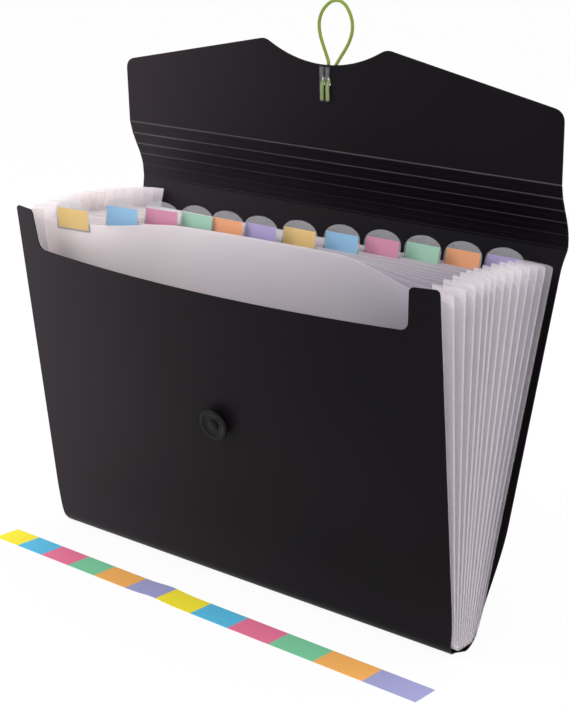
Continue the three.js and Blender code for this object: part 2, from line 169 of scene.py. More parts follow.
def skin(near, far):
    # a closed wall between two grids of points, near and far, each columns by rows
    cols, rows = near.shape[:2]
    a = np.arange(cols * rows).reshape(cols, rows)
    b = a + cols * rows
    faces = quads(a[:-1, :-1], a[1:, :-1], a[1:, 1:], a[:-1, 1:])
    faces += quads(b[:-1, :-1], b[:-1, 1:], b[1:, 1:], b[1:, :-1])
    for row in (0, -1):
        faces += quads(a[:-1, row], b[:-1, row], b[1:, row], a[1:, row])
    for col in (0, -1):
        faces += quads(a[col, :-1], b[col, :-1], b[col, 1:], a[col, 1:])
    return np.concatenate([near.reshape(-1, 3), far.reshape(-1, 3)]), faces


def plate(columns, rows, place, near, far):
    # a wall over columns of (across, low, high), placed by place(across, up, through)
    across, low, high = (np.asarray(c, float)[:, None] for c in zip(*columns))
    up = low + (high - low) * np.linspace(0, 1, rows + 1)[None, :]
    return skin(place(across, up, near), place(across, up, far))


def together(parts):
    verts, faces, base = [], [], 0
    for v, f in parts:
        verts.append(v)
        faces += [[k + base for k in face] for face in f]
        base += len(v)
    return np.concatenate(verts), faces


def finished(piece):
    # modifiers become plain mesh
    bpy.context.view_layer.update()
    graph = bpy.context.evaluated_depsgraph_get()
    solved = piece.evaluated_get(graph)
    mesh = bpy.data.meshes.new_from_object(solved, preserve_all_data_layers=True, depsgraph=graph)
    mesh.name = piece.name
    piece.modifiers.clear()
    piece.data = mesh


def softenRim(piece, width):
    bevel = piece.modifiers.new("rim", "BEVEL")
    bevel.width = width * mm
    bevel.segments = 2
    bevel.limit_method = "ANGLE"
    bevel.angle_limit = radians(edgeAngles["rim"])
    finished(piece)


# Node helpers
def addNode(tree, kind, values=None, **settings):
    node = tree.nodes.new(kind)
    for key, value in settings.items():
        setattr(node, key, value)
    for key, value in (values or {}).items():
        if isinstance(value, bpy.types.NodeSocket):
            tree.links.new(value, node.inputs[key])
        else:
            node.inputs[key].default_value = value
    return node


def output(tree, kind, values=None, **settings):
    # the first output of a new node
    return addNode(tree, kind, values, **settings).outputs[0]


def newMaterial(name, values):
    material = bpy.data.materials.new(name)
    material.use_nodes = True
    shader = material.node_tree.nodes["Principled BSDF"]
    for key, value in values.items():
        shader.inputs[key].default_value = value
    return material, material.node_tree, shader


def rgb(red, green, blue):
    # a colour as it is read off a screen, 0 to 255
    values = (value / 255 for value in (red, green, blue))
    return tuple(v / 12.92 if v <= 0.04045 else ((v + 0.055) / 1.055) ** 2.4 for v in values) + (1.0,)


def maths(tree, operation, *values, clamp=False):
    return output(tree, "ShaderNodeMath", dict(enumerate(values)), operation=operation, use_clamp=clamp)


def mapped(tree, value, start, end, low=0.0, high=1.0):
    # start to end becomes low to high
    ends = {"Value": value, "From Min": start, "From Max": end, "To Min": low, "To Max": high}
    return output(tree, "ShaderNodeMapRange", ends)


def objectPlace(tree):
    return addNode(tree, "ShaderNodeTexCoord").outputs["Object"]


def partsOf(tree, vector):
    return addNode(tree, "ShaderNodeSeparateXYZ", {0: vector}).outputs


def noise(tree, vector, scale, detail=2.0):
    return output(tree, "ShaderNodeTexNoise", {"Vector": vector, "Scale": scale, "Detail": detail})


def tint(tree, shader, share, start, end):
    # the surface's colour goes from start to end with share
    values = {0: share, 6: rgb(*start), 7: rgb(*end)}
    mixed = addNode(tree, "ShaderNodeMix", values, data_type="RGBA").outputs[2]
    tree.links.new(mixed, shader.inputs["Base Color"])


def roughen(tree, shader, share, smoothest, roughest):
    tree.links.new(mapped(tree, share, 0.0, 1.0, smoothest, roughest), shader.inputs["Roughness"])


def bump(tree, shader, height, distance, strength):
    node = addNode(tree, "ShaderNodeBump", {"Height": height, "Distance": distance, "Strength": strength})
    tree.links.new(node.outputs[0], shader.inputs["Normal"])


# Camera, at the photograph's angle
camera = {
    "place": (0.60172, -0.78698, 0.42699),
    "azimuth": 36.63, "elevation": 15.2, "roll": 2.81, "lens": 81.06, "sensor": 36.0, "nearest": 0.05,
}


def addCamera():
    azimuth, elevation = radians(camera["azimuth"]), radians(camera["elevation"])
    level = cos(elevation)
    away = Vector((sin(azimuth) * level, -cos(azimuth) * level, sin(elevation)))
    data = bpy.data.cameras.new("camera")
    data.lens = camera["lens"]
    data.sensor_width = camera["sensor"]
    data.clip_start = camera["nearest"]
    view = linked("camera", data)
    view.location = camera["place"]
    view.rotation_mode = "QUATERNION"
    roll = Quaternion((0, 0, 1), radians(camera["roll"]))
    view.rotation_quaternion = (-away).to_track_quat("-Z", "Y") @ roll
    bpy.context.scene.camera = view


addCamera()
print("camera set")

# Creases and flap: frames of the five strips and the flap, upwards from the back cover
creases = {"strip": 8.8, "leans": (8, 22, 30, 28, 20), "flapLean": 6.5, "round": 1.5, "soft": 1.6}


def creaseFrames():
    start = onSheet(fan["last"], 0, cover["backHeight"])
    frames = [{"y": start[1], "z": start[2], "before": leanOf(fan["last"])}]
    for lean in creases["leans"] + (creases["flapLean"],):
        turn = radians(lean)
        frames[-1]["after"] = turn
        y = frames[-1]["y"] - creases["strip"] * sin(turn)
        z = frames[-1]["z"] + creases["strip"] * cos(turn)
        frames.append({"y": y, "z": z, "before": turn})
    return frames[:-1]


creaseLines = creaseFrames()
flapFrame = (creaseLines[5]["y"], creaseLines[5]["z"], radians(creases["flapLean"]))
stripNames = ["back_cover"] + [f"crease_strip_{k}" for k in range(1, 6)] + ["flap"]
creaseBodies = ["back_cover"] + ["lower_creases"] * 2 + ["upper_creases"] * 3 + ["flap"]

# Elastic loop: both ends lie on the inner face of the flap, pass its slots and rise behind it
loop = {
    "diameter": 2.2, "middle": 1.4, "spacing": 4.4, "lift": 1.85, "slotHeight": 45.0,
    "slotRise": ((-11.5, -1), (-7.5, -1), (-3.9, -1), (-2.44, -0.88), (-1.1, -0.54), (0, 0),
                 (1.1, 0.54), (2.44, 0.88), (3.9, 1)),
    "loop": ((0.6, 52.5), (2, 56.5), (0.2, 62), (-2, 67.5), (-4, 73), (-5, 78.7), (-4.6, 84), (-2.4, 89),
             (1.4, 93.3), (5.8, 96), (10.3, 96.6), (14.8, 94.8), (18.6, 90), (20.7, 84), (20.6, 78),
             (18.6, 72), (15.4, 66.5), (11.8, 61.5), (8.3, 56.5), (5.6, 52.5)),
    "steps": 9, "sides": 20,
}
braid = {"strands": 6.0, "perMillimetre": 1.25}


def smoothRoute(points, steps):
    # a centripetal Catmull-Rom curve through the points
    points = [np.array(p, float) for p in points]
    ends = [2 * points[0] - points[1]] + points + [2 * points[-1] - points[-2]]
    route = []
    for p0, p1, p2, p3 in zip(ends, ends[1:], ends[2:], ends[3:]):
        d0, d1, d2 = (sqrt(np.linalg.norm(b - a)) for a, b in ((p0, p1), (p1, p2), (p2, p3)))
        m1 = ((p1 - p0) / d0 - (p2 - p0) / (d0 + d1) + (p2 - p1) / d1) * d1
        m2 = ((p2 - p1) / d1 - (p3 - p1) / (d1 + d2) + (p3 - p2) / d2) * d1
        for k in range(steps):
            t = k / steps
            h = (2 * t**3 - 3 * t**2 + 1, t**3 - 2 * t**2 + t, -2 * t**3 + 3 * t**2, t**3 - t**2)
            route.append(h[0] * p1 + h[1] * m1 + h[2] * p2 + h[3] * m2)
    return np.array(route + [points[-1]])


def tube(route, radius, sides):
    # a closed tube along a route, with a cap of faces at each end, and its length along and around as UV
    tangent = np.gradient(route, axis=0)
    tangent /= np.linalg.norm(tangent, axis=1)[:, None]
    side = np.cross(tangent[0], (1.0, 0.2, 0.1))
    length = np.concatenate([[0], np.cumsum(np.linalg.norm(np.diff(route, axis=0), axis=1))])
    verts, uv = [], []
    for k, (point, ahead) in enumerate(zip(route, tangent)):
        side = side - ahead * (side @ ahead)
        side /= np.linalg.norm(side)
        other = np.cross(ahead, side)
        for s in range(sides):
            angle = 2 * pi * s / sides
            verts.append(point + radius * (cos(angle) * side + sin(angle) * other))
            uv.append((length[k], s / sides))
    ring = np.arange(len(verts)).reshape(len(route), sides)
    turned = np.roll(ring, -1, axis=1)
    faces = quads(ring[:-1], turned[:-1], turned[1:], ring[1:])
    faces += [ring[0][::-1].tolist(), ring[-1].tolist()]
    return np.array(verts), faces, uv


def elasticMaterial():
    values = {"Roughness": 0.85, "Specular IOR Level": 0.25, "Sheen Weight": 0.3}
    material, tree, shader = newMaterial("elastic_braid", values)
    uv = output(tree, "ShaderNodeUVMap", uv_map="along")
    along, around = partsOf(tree, uv)[:2]
    advance = maths(tree, "MULTIPLY", along, braid["perMillimetre"])
    heights = []
    for strands in (braid["strands"], -braid["strands"]):
        strand = maths(tree, "ADD", maths(tree, "MULTIPLY", around, strands), advance)
        heights.append(maths(tree, "PINGPONG", strand, 1.0))
    height = maths(tree, "MAXIMUM", *heights)
    # the colour darkens down into the grooves between the strands: painted shade
    tint(tree, shader, height, (66, 84, 18), (140, 160, 60))
    bump(tree, shader, height, 0.0002, 0.7)
    return material


def addElastic():
    left, right = loop["middle"] - loop["spacing"] / 2, loop["middle"] + loop["spacing"] / 2
    rise = [(up + loop["slotHeight"], share * loop["lift"]) for up, share in loop["slotRise"]]
    points = [(left, through, up) for up, through in rise]
    points += [(x, loop["lift"], up) for x, up in loop["loop"]]
    points += [(right, through, up) for up, through in reversed(rise)]
    route = smoothRoute([inFrame(*flapFrame, x, up, through) for x, through, up in points], loop["steps"])
    verts, faces, uv = tube(route, loop["diameter"] / 2, loop["sides"])
    piece = makePiece("elastic_loop_braided", verts, faces, elasticMaterial(), uv=uv)
    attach(piece, "flap")
    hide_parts("elastic_loop")


addElastic()
print("elastic loop made")


# Materials, and where painted light and shade change their colours: across the folder in metres, or backwards
# as a slope
shading = {
    "blackSheenAcross": (0.13, -0.175), "blackSheenPower": 2.2, "blackCloud": 0.2,
    "frostedShadeAcross": (-0.125, 0.14), "frostedShadeRear": (0.12, 0.2), "below": 0.04, "frostedCloud": 0.06,
}


def blackSheetMaterial():
    # painted sheen: paler towards the left edge, on the side of the key lamp, with random clouding over it
    material, tree, shader = newMaterial("black_sheet", {"Specular IOR Level": 0.06})
    place = objectPlace(tree)
    broad = noise(tree, place, 9.0)
    pale = mapped(tree, partsOf(tree, place)[0], *shading["blackSheenAcross"])
    pale = maths(tree, "POWER", pale, shading["blackSheenPower"])
    pale = maths(tree, "ADD", pale, maths(tree, "MULTIPLY", broad, shading["blackCloud"]))
    tint(tree, shader, pale, (8, 6, 9), (45, 39, 44))
    roughen(tree, shader, broad, 0.40, 0.50)
    bump(tree, shader, noise(tree, place, 1900.0, 1.0), 0.00006, 0.35)
    return material


def frostedMaterial(name, light, dark, alpha, roughness, grain, shadedRearwards):
    # painted light and shade, from light to dark: across the folder from left to right for the dividers,
    # towards the rearmost sheets for the gussets, with random clouding over it
    values = {"Alpha": alpha, "Roughness": roughness, "Specular IOR Level": 0.5}
    material, tree, shader = newMaterial(name, values)
    place = objectPlace(tree)
    across, depth, height = partsOf(tree, place)
    if shadedRearwards:
        slope = maths(tree, "DIVIDE", depth, maths(tree, "ADD", height, shading["below"]))
        share = mapped(tree, slope, *shading["frostedShadeRear"])
    else:
        share = mapped(tree, across, *shading["frostedShadeAcross"])
    reach = shading["frostedCloud"]
    cloud = mapped(tree, noise(tree, place, 22.0, 3.0), 0.0, 1.0, -reach, reach)
    tint(tree, shader, maths(tree, "ADD", share, cloud, clamp=True), light, dark)
    bump(tree, shader, noise(tree, place, 1400.0, 1.0), grain, 0.3)
    return material


def grainedMaterial(name, values, scale, detail=2.0, colours=None, rough=None, relief=None):
    # one noise field that may lead the colour, the roughness and a fine relief
    material, tree, shader = newMaterial(name, values)
    field = noise(tree, objectPlace(tree), scale, detail)
    if colours:
        tint(tree, shader, field, *colours)
    if rough:
        roughen(tree, shader, field, *rough)
    if relief:
        bump(tree, shader, field, *relief)
    return material


def paperMaterial(name, colour):
    return grainedMaterial(
        "paper_" + name, {"Roughness": 0.78, "Specular IOR Level": 0.25}, 900.0, 3.0,
        colours=([value - 9 for value in colour], colour), relief=(0.00005, 0.4))


blackSheet = blackSheetMaterial()
# Paler and glossier where the plastic is scored: the paler colour is a painted highlight along the creases,
# with random tone
scoredLineHighlight = grainedMaterial(
    "scored_line_highlight", {"Roughness": 0.3, "Specular IOR Level": 0.5}, 60.0, 3.0,
    colours=((24, 21, 25), (62, 58, 64)))
# The dividers carry painted light and shade, paler on the left and darker to the right
frostedSheet = frostedMaterial(
    "frosted_divider", light=(252, 243, 245), dark=(186, 179, 192),
    alpha=0.55, roughness=0.42, grain=0.00005, shadedRearwards=False)
# The gussets carry painted shade, darker over the rearmost sheets
pleatFilms = {
    1: frostedMaterial(
        "frosted_gusset_right", light=(251, 244, 248), dark=(226, 218, 228),
        alpha=0.2, roughness=0.34, grain=0.00001, shadedRearwards=True),
    -1: frostedMaterial(
        "frosted_gusset_left", light=(255, 247, 249), dark=(246, 238, 243),
        alpha=0.42, roughness=0.34, grain=0.00001, shadedRearwards=True),
}
clearFilm = grainedMaterial(
    "clear_film", {"Base Color": rgb(238, 236, 242), "Alpha": 0.09, "Roughness": 0.2}, 160.0,
    relief=(0.0002, 0.25))
clearSleeve = grainedMaterial(
    "clear_sleeve", {"Base Color": rgb(225, 228, 230), "Alpha": 0.05, "Roughness": 0.08}, 220.0,
    relief=(0.0003, 0.35))
mouldedBlack = grainedMaterial(
    "moulded_black", {"Base Color": rgb(13, 10, 13), "Specular IOR Level": 0.14}, 700.0,
    rough=(0.34, 0.44), relief=(0.00004, 0.2))
washerSteel = grainedMaterial(
    "washer_steel", {"Base Color": rgb(184, 186, 190), "Metallic": 1.0}, 600.0, 3.0, rough=(0.24, 0.4))
paperColours = {
    "yellow": (252, 236, 62), "blue": (96, 194, 232), "pink": (238, 124, 158),
    "green": (130, 208, 164), "orange": (250, 182, 100), "purple": (166, 166, 212),
}
# The labels in the tabs are the strip's papers made darker and duller: painted shade under the milky tabs
shadedLabelColours = {
    "yellow": (226, 186, 84), "blue": (122, 184, 224), "pink": (208, 116, 152),
    "green": (142, 198, 168), "orange": (232, 146, 60), "purple": (160, 142, 200),
}
papers = {name: paperMaterial(name, colour) for name, colour in paperColours.items()}
shadedLabelPapers = {name: paperMaterial(name + "_label", colour) for name, colour in shadedLabelColours.items()}
paperOrder = list(papers)
print("materials made")

# Front cover, spine and rear bend: one black ribbon round the front bend, where the folder's cover hinges
front = {
    "ear": 18.0, "recess": 27.0, "slant": 1.5, "earCorner": 3.0, "recessCorner": 6.0,
    "spineWidth": 328.0, "narrowOver": 26.0, "narrowBelow": 30.0, "cornerInset": 4.5, "cornerRise": 20.0,
    "arc": 8, "middle": 44, "rows": 60, "bendSteps": 15, "blendFrom": 13.0,
}
rim = {"cover": 0.22, "back": 0.2, "divider": 0.12}


def frontOutline():
    # (across, top) of the cover from its left side to its right side, with an ear beside the recess on each
    turn = np.linspace(0, pi / 2, front["arc"] + 1)
    top, ear, foot = cover["height"], front["ear"], front["ear"] + front["slant"]
    low = top - front["recess"]
    corner, dip = front["earCorner"], front["recessCorner"]
    edge = [(corner * (1 - cos(t)), top - corner * (1 - sin(t))) for t in turn]
    edge += [(x, top) for x in np.linspace(corner, ear - corner, 7)[1:]]
    edge += [(ear - corner * (1 - sin(t)), top - corner * (1 - cos(t))) for t in turn[1:]]
    edge += [(foot + dip * (1 - cos(t)), low + dip * (1 - sin(t))) for t in turn]
    edge += [(x, low) for x in np.linspace(edge[-1][0], cover["width"] / 2, front["middle"])[1:]]
    left = [(inset - cover["width"] / 2, high) for inset, high in edge]
    return left + [(-x, high) for x, high in reversed(left[:-1])]


def bowAt(across, up):
    side = 1 - (2 * across / cover["width"]) ** 2
    return cover["bow"] * side * (np.maximum(0, up) / cover["height"]) ** cover["bowPower"]


def ribbonBelow():
    # rows of (y, z, outward y, outward z) from the front bend round under the base to the back cover
    rows, down = [], 1.5 * pi
    turns = ((frontBend, pi + leanOf(0), down), (rearBend, down, 2 * pi + leanOf(fan["last"])))
    for bend, start, end in turns:
        reach = bend["radius"] - cover["wall"] / 2
        for angle in np.linspace(start, end, front["bendSteps"]):
            outY, outZ = cos(angle), sin(angle)
            rows.append((bend["y"] + reach * outY, bend["radius"] + reach * outZ, outY, outZ))
    return rows[1:]


def cornerInset(y, height):
    # the side edges draw in over the rounded corners of the front bend
    rise = np.clip(1 - height / front["cornerRise"], 0, 1)
    share = smooth01((rearBend["y"] - y) / (rearBend["y"] - frontBend["y"]))
    return front["cornerInset"] * (1 - np.sqrt(1 - rise**2)) * share


def addFrontCover():
    across, high = (np.array(values)[:, None] for values in zip(*frontOutline()))
    up = high + (frontBend["tangent"] - high) * np.linspace(0, 1, front["rows"] + 1)[None, :]
    y, z, outY, outZ = np.array(ribbonBelow()).T
    ratio = front["spineWidth"] / cover["width"]
    narrowed = 1 - smooth01((front["narrowBelow"] - up) / front["narrowOver"]) * (1 - ratio)

    def layer(out):
        # the cover and the ribbon below it, a distance out from the middle of their wall
        upper = onSheet(0, across, up, -out - bowAt(across, up))
        upper[..., 0] *= narrowed
        lower = np.stack(np.broadcast_arrays(across * ratio, y + out * outY, z + out * outZ), -1)
        return np.concatenate([upper, lower], 1)

    middle = layer(0)
    kept = 1 - 2 * cornerInset(middle[..., 1], middle[..., 2]) / cover["width"]
    layers = [layer(cover["wall"] / 2), layer(-cover["wall"] / 2)]
    for points in layers:
        points[..., 0] *= kept
    piece = makePiece("front_cover_and_spine", *skin(*layers), blackSheet)
    softenRim(piece, rim["cover"])
    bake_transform(piece)
    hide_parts("front_cover", "spine")


addFrontCover()
print("front cover made")

# Back cover, creased strips and flap: six pieces that meet at the middles of the strips
flap = {
    "width": 345.0, "side": 44.0, "peak": 69.3, "peakAt": 47.7, "dip": 13.7, "corner": 7.0, "peakRound": 4.0,
    "slotLength": 5.4, "slotRoom": 0.3, "slotSides": 24, "cut": 2.0, "columns": 45, "rows": 31,
}
score = {"height": 0.16, "half": 0.55, "line": 0.7, "rows": (0.1, 0.25, 0.4, 0.55, 0.8, 1.1, 1.5, 2.2, 3)}
back = {"widenOver": 75.0, "flareFrom": -14.0, "flareOver": 18.0, "rows": 60, "firstRow": 4.0}


def flapTop():
    # (across, top) of the flap from its left side to its right side
    side = flap["width"] / 2
    slope = atan2(flap["peak"] - flap["side"], side - flap["peakAt"])
    radius = (flap["peakAt"] ** 2 + flap["dip"] ** 2) / (2 * flap["dip"])
    hollow = flap["peak"] - flap["dip"] + radius
    inner, outer = flap["peakAt"] - flap["peakRound"], flap["peakAt"] + flap["peakRound"]

    def curve(start, knee, end, count):
        start, knee, end = (np.array(point) for point in (start, knee, end))
        ts = np.linspace(0, 1, count + 1)
        return [tuple((1 - t) ** 2 * start + 2 * t * (1 - t) * knee + t**2 * end) for t in ts]

    right = [(x, hollow - sqrt(radius**2 - x**2)) for x in np.linspace(0, inner, 13)]
    beyond = flap["peak"] - flap["peakRound"] * tan(slope)
    right += curve(right[-1], (flap["peakAt"], flap["peak"]), (outer, beyond), 10)[1:]
    reach = (side - flap["corner"] * cos(slope), flap["side"] + flap["corner"] * sin(slope))
    right += list(zip(np.linspace(outer, reach[0], 18)[1:], np.linspace(beyond, reach[1], 18)[1:]))
    right += curve(reach, (side, flap["side"]), (side, flap["side"] - flap["corner"]), 8)[1:]
    return [(-x, top) for x, top in reversed(right[1:])] + right


def creasePath(line, s):
    # centre line and its rearward direction, s millimetres up from a crease, rounded over the fold
    before, after, soft = line["before"], line["after"], creases["round"]
    low, high = (np.array([-sin(a), cos(a)]) for a in (before, after))
    t = np.clip((s + soft) / (2 * soft), 0, 1)[..., None]
    s = np.asarray(s)[..., None]
    bent = -low * soft * (1 - t) ** 2 + high * soft * t**2
    point = np.where(s < -soft, low * s, np.where(s > soft, high * s, bent))
    ahead = low * (1 - t) + high * t
    ahead /= np.linalg.norm(ahead, axis=-1, keepdims=True)
    rear = np.stack([ahead[..., 1], -ahead[..., 0]], -1)
    return point + np.array([line["y"], line["z"]]), rear


def creaseRows(below, above):
    near = np.array(score["rows"])
    return np.concatenate([-np.asarray(below)[::-1], -near[::-1], near, above])


def addCreased(index, name, rowsBelow, rowsAbove, widths, outline=None):
    # rowsAbove are distances up the sheet, or shares of the way to the outline's top
    line = creaseLines[index]
    if outline:
        across, top = (np.array(values)[:, None] for values in zip(*outline))
        fixed = creaseRows(rowsBelow, [])
        last = score["rows"][-1]
        upper = last + (top - last) * np.asarray(rowsAbove)[None, :]
        s = np.concatenate([np.broadcast_to(fixed, (len(across), len(fixed))), upper], 1)
    else:
        share = np.sin(np.linspace(-1, 1, flap["columns"]) * pi / 2)[:, None]
        fixed = creaseRows(rowsBelow, rowsAbove)
        s = np.broadcast_to(fixed, (len(share), len(fixed)))
        across = share * widths(s) / 2
    across = np.broadcast_to(across, s.shape)
    point, rear = creasePath(line, s)
    ridge = score["height"] * np.maximum(0, 1 - (s / score["half"]) ** 2)
    half = cover["wall"] / 2
    layers = []
    for offset in (-half - ridge, half - ridge):
        place = point + rear * offset[..., None]
        layers.append(np.stack([across, place[..., 0], place[..., 1]], -1))
    piece = makePiece(name, *skin(*layers), blackSheet)
    piece.data.materials.append(scoredLineHighlight)
    inward = np.array([cos(line["after"]), sin(line["after"])])
    for polygon in piece.data.polygons:
        away = np.array(polygon.center[1:]) / mm - (line["y"], line["z"])
        if np.hypot(*away) < score["line"] and away @ inward < 0:
            polygon.material_index = 1
    return piece


def backWidthAt(s):
    # the width s millimetres up from the lowest crease
    foot, body, top = front["spineWidth"], cover["backWidth"], flap["width"]
    lower = foot + (body - foot) * smooth01((s + cover["backHeight"]) / back["widenOver"])
    return lower + (top - body) * smooth01((s - back["flareFrom"]) / back["flareOver"])


def cutSlots(piece):
    # two long holes for the elastic
    radius = loop["diameter"] / 2 + flap["slotRoom"]
    reach = flap["slotLength"] / 2 - radius
    count = flap["slotSides"]
    for side in (-1, 1):
        x = loop["middle"] + side * loop["spacing"] / 2
        ring = []
        for k in range(count):
            angle = 2 * pi * k / count
            middle = loop["slotHeight"] + (reach if k < count / 2 else -reach)
            ring.append((x + radius * cos(angle), middle + radius * sin(angle)))
        across, up = np.array(ring).T
        near, far = (inFrame(*flapFrame, across, up, through) for through in (-flap["cut"], flap["cut"]))
        faces = [list(range(count)), list(range(2 * count - 1, count - 1, -1))]
        faces += [[k, k + count, (k + 1) % count + count, (k + 1) % count] for k in range(count)]
        cutter = makePiece("slot", np.concatenate([near, far]), faces)
        cut = piece.modifiers.new("slot", "BOOLEAN")
        cut.object = cutter
        cut.operation = "DIFFERENCE"
        cut.solver = "EXACT"
        finished(piece)
        bpy.data.objects.remove(cutter)


def addBackAndFlap():
    middle = creases["strip"] / 2
    full = lambda s: np.full_like(s, flap["width"])
    backRows = np.linspace(back["firstRow"], cover["backHeight"] - rearBend["tangent"], back["rows"])
    made = [addCreased(0, "back_cover_sheet", backRows, [middle], backWidthAt)]
    for k in range(1, 5):
        made.append(addCreased(k, f"crease_fold_sheet_{k}", [middle], [middle], full))
    flapRows = np.linspace(0, 1, flap["rows"])[1:]
    made.append(addCreased(5, "flap_sheet", [middle], flapRows, None, outline=flapTop()))
    for index, piece in enumerate(made):
        softenRim(piece, rim["back"])
        if index == 5:
            cutSlots(piece)
            piece.data.shade_smooth()
            piece.data.set_sharp_from_angle(angle=radians(edgeAngles["fold"]))
        below, above = creaseBodies[index:index + 2]
        if below != above:
            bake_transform(piece)
        else:
            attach(piece, below)
        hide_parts(stripNames[index], *(["flap"] if index == 5 else []))


addBackAndFlap()
print("back cover, creases and flap made")

# Dividers: frosted sheets that the front of the fan lets hang back in the middle
divider = {
    "thickness": 0.5, "height": 226.5, "width": 329.4, "clear": 0.3, "topCorner": 8.0, "lowCorner": 4.0,
    "rows": 36, "middle": 40, "arc": 8, "finest": 0.3, "keep": 0.12,
    "sag": {6: 3, 7: 2, 8: 4, 9: 4, 10: 3.5, 11: 2.5, 12: 1.5}, "sagFrom": 155.0, "sagOver": 88.0,
    "edgeOver": 12.0, "smoothing": (-10, -5, 0, 5, 10), "sagPower": 1.4,
}
# How far the front five hang back at their tops, at places across them
sagging = {
    "across": (-165, -150, -141, -117, -100, -87, -71, -46, -23, 8, 39, 67, 100, 132, 150, 165),
    1: (0, 0.5, 2.5, 3.5, 10, 20, 31, 33, 35, 36, 37.5, 36.5, 23, 6, 1.5, 0),
    2: (0, 5, 9.5, 10.8, 11.5, 14, 20, 24, 26, 26.2, 26.5, 26, 14, 4, 1, 0),
    3: (0, 3, 7, 10, 11, 11.3, 14, 17.5, 18, 18, 18, 17.5, 10, 3, 1, 0),
    4: (0, 2, 4.5, 7.5, 9, 9.8, 10.5, 11, 11, 11, 11, 10.8, 6, 2, 0.5, 0),
    5: (0, 1, 2.5, 4, 5, 5.6, 5.8, 5.8, 5.6, 5.8, 5.8, 5.6, 3, 1, 0.2, 0),
}


def sagAt(sheet, across, up):
    # how far a divider stands back of its flat place
    if sheet in sagging:
        steps = divider["smoothing"]
        hang = sum(np.interp(across + step, sagging["across"], sagging[sheet]) for step in steps) / len(steps)
        hang = hang * smooth01((divider["width"] / 2 - np.abs(across)) / divider["edgeOver"])
    else:
        hang = divider["sag"][sheet] * smooth01((divider["sagFrom"] - np.abs(across)) / divider["sagOver"])
    return hang * (np.maximum(0, up) / divider["height"]) ** divider["sagPower"]


def hangingOn(sheet):
    return lambda across, up, through: onSheet(sheet, across, up, through + sagAt(sheet, across, up))


def flatten(piece):
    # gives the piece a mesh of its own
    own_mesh(piece)


def cornerColumns(half, low, high, lowCorner, highCorner, middle):
    # columns of (across, low, high) with rounded lower and upper corners
    turn = np.linspace(0, pi / 2, divider["arc"])
    insets = [0.0]
    for inset in sorted(v for r in (lowCorner, highCorner) for v in r * (1 - np.cos(turn))):
        if inset - insets[-1] > divider["finest"]:
            insets.append(inset)
    columns = []
    for inset in insets:
        rounds = [r - sqrt(r * r - max(0.0, r - inset) ** 2) for r in (lowCorner, highCorner)]
        columns.append((inset - half, low + rounds[0], high - rounds[1]))
    columns += [(x, low, high) for x in np.linspace(columns[-1][0], 0, middle)[1:]]
    return columns + [(-x, a, b) for x, a, b in reversed(columns[:-1])]


def addDividers():
    for sheet in range(1, fan["last"]):
        low = startOf(sheet) + divider["clear"]
        corners = divider["lowCorner"], divider["topCorner"]
        columns = cornerColumns(divider["width"] / 2, low, divider["height"], *corners, divider["middle"])
        half = divider["thickness"] / 2
        wall = plate(columns, divider["rows"], hangingOn(sheet), -half, half)
        piece = makePiece(f"divider_sheet_{sheet:02d}", *wall, frostedSheet)
        softenRim(piece, rim["divider"])
        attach(piece, f"divider_{sheet:02d}")
        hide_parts(f"divider_{sheet:02d}")
        flatten(piece)


addDividers()
print("dividers made")

# Tabs and labels
tab = {
    "labelWidth": 24.8, "labelHeight": 13.5, "paper": 0.12, "centre": 229.0, "wall": 0.2, "margin": 1.25,
    "arch": 5.6, "side": 1.0, "floor": 1.2, "slip": 0.12, "gap": 0.3, "bite": 0.01, "within": 0.998,
    "archSides": 26, "rows": 10, "columns": 15, "inner": 8,
}


def tabCentre(sheet):
    low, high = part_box(f"label_{sheet:02d}")
    return (low.x + high.x) / 2 / mm


def archColumns(centre, half, low, top):
    # an elliptic arch over straight sides
    turn = np.linspace(pi, 0, tab["archSides"] + 1)
    return [(centre + half * cos(t), low, top + 1.5 * tab["arch"] * sin(t)) for t in turn]


def addTabs():
    half = tab["labelWidth"] / 2 + tab["margin"]
    labelLow = tab["centre"] - tab["labelHeight"] / 2
    floor, top = labelLow - tab["floor"], tab["centre"] + tab["labelHeight"] / 2 - tab["arch"] / 2
    seat = -divider["thickness"] / 2 - tab["gap"]
    rearFace = seat - 2 * tab["wall"] - tab["paper"] - 2 * tab["slip"]
    inner = (seat - tab["wall"] - tab["bite"], rearFace + tab["wall"] + tab["bite"])
    for sheet in range(1, fan["last"]):
        centre, place = tabCentre(sheet), hangingOn(sheet)
        columns = archColumns(centre, half, floor, top)
        walls = [plate(columns, tab["rows"], place, seat - tab["wall"], seat)]
        walls.append(plate(columns, tab["rows"], place, rearFace, rearFace + tab["wall"]))
        for sign in (-1, 1):
            edge = sorted((centre + sign * half * tab["within"], centre + sign * (half - tab["side"])))
            sides = [(x, floor + tab["floor"], top) for x in edge]
            walls.append(plate(sides, tab["inner"], place, *inner))
        across = np.linspace(centre - half, centre + half, tab["columns"])
        walls.append(plate([(x, floor, floor + tab["floor"]) for x in across], 1, place, *inner))
        piece = makePiece(f"tab_pocket_{sheet:02d}", *together(walls), clearFilm)
        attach(piece, f"divider_{sheet:02d}")
        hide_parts(f"tab_{sheet:02d}")
        flatten(piece)
        rear = seat - tab["wall"] - tab["slip"]
        across = centre + np.linspace(-0.5, 0.5, tab["columns"]) * tab["labelWidth"]
        paper = [(x, labelLow, labelLow + tab["labelHeight"]) for x in across]
        colour = paperOrder[(sheet - 1) % len(paperOrder)]
        card = plate(paper, tab["inner"], place, rear - tab["paper"], rear)
        label = makePiece(f"label_card_{sheet:02d}", *card, shadedLabelPapers[colour])
        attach(label, f"divider_{sheet:02d}")
        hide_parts(f"label_{sheet:02d}")
        flatten(label)


addTabs()
print("tabs and labels made")

